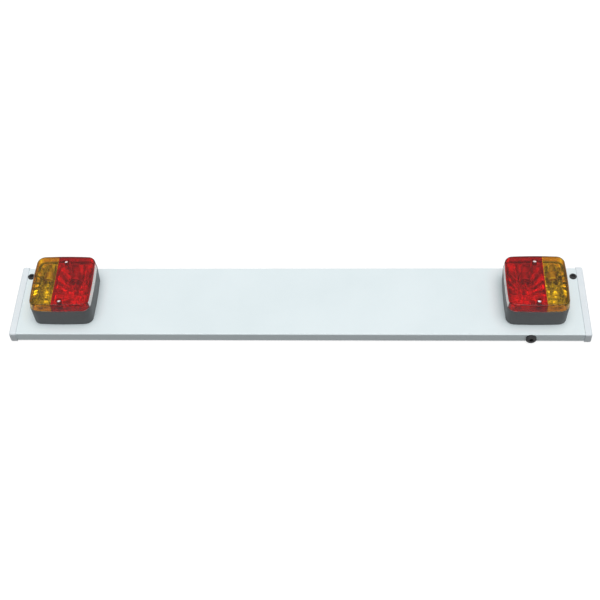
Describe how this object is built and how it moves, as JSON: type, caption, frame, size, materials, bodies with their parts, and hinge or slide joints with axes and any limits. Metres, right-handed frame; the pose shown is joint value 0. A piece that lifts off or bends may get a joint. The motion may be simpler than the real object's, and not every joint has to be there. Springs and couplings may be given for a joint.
{
  "type": "trailer lighting board",
  "caption": "White trailer lighting board with square red and amber rear lamps, end caps, strap holes and a cable outlet in its lower edge.",
  "frame": {"origin": "under the middle of the board, on the plane that its end caps rest on", "axes": "+X along the board, to the right as seen from behind the vehicle; +Y towards the board's upper edge in use; +Z out of the board's face, towards the lamps' lenses"},
  "size_m": [0.914, 0.1411, 0.0667],
  "materials": {
    "board_white": "smooth",
    "cap_white": "smooth",
    "black_rubber": "matte",
    "lamp_black": "satin",
    "lens_red": "clear tinted",
    "lens_amber": "clear tinted",
    "window_clear": "clear",
    "reflector_silver": "silvered",
    "zinc_steel": "zinc plated",
    "socket_brass": "plain",
    "bulb_glass": "clear"
  },
  "bodies": {
    "root": {"board_channel": "board_white", "cable_outlet_grommet": "black_rubber", "indicator_bulb_caps": "socket_brass", "indicator_bulb_glasses": "bulb_glass", "indicator_sockets": "socket_brass", "lamp_bolts": "zinc_steel", "lamp_nuts": "zinc_steel", "lamp_washers": "zinc_steel", "lamp_wire_grommets": "black_rubber", "left_end_cap": "cap_white", "left_indicator_bracket": "zinc_steel", "left_indicator_contact": "socket_brass", "left_lamp_base": "lamp_black", "left_lens_amber": "lens_amber", "left_lens_red": "lens_red", "left_lens_seal": "black_rubber", "left_plate_window": "window_clear", "left_reflector": "reflector_silver", "left_stop_bracket": "zinc_steel", "left_stop_contact": "socket_brass", "left_strap_grommet": "black_rubber", "lens_screws": "zinc_steel", "right_end_cap": "cap_white", "right_indicator_bracket": "zinc_steel", "right_indicator_contact": "socket_brass", "right_lamp_base": "lamp_black", "right_lens_amber": "lens_amber", "right_lens_red": "lens_red", "right_lens_seal": "black_rubber", "right_plate_window": "window_clear", "right_reflector": "reflector_silver", "right_stop_bracket": "zinc_steel", "right_stop_contact": "socket_brass", "right_strap_grommet": "black_rubber", "stop_bulb_caps": "socket_brass", "stop_bulb_glasses": "bulb_glass", "stop_sockets": "socket_brass"}
  },
  "joints": []
}
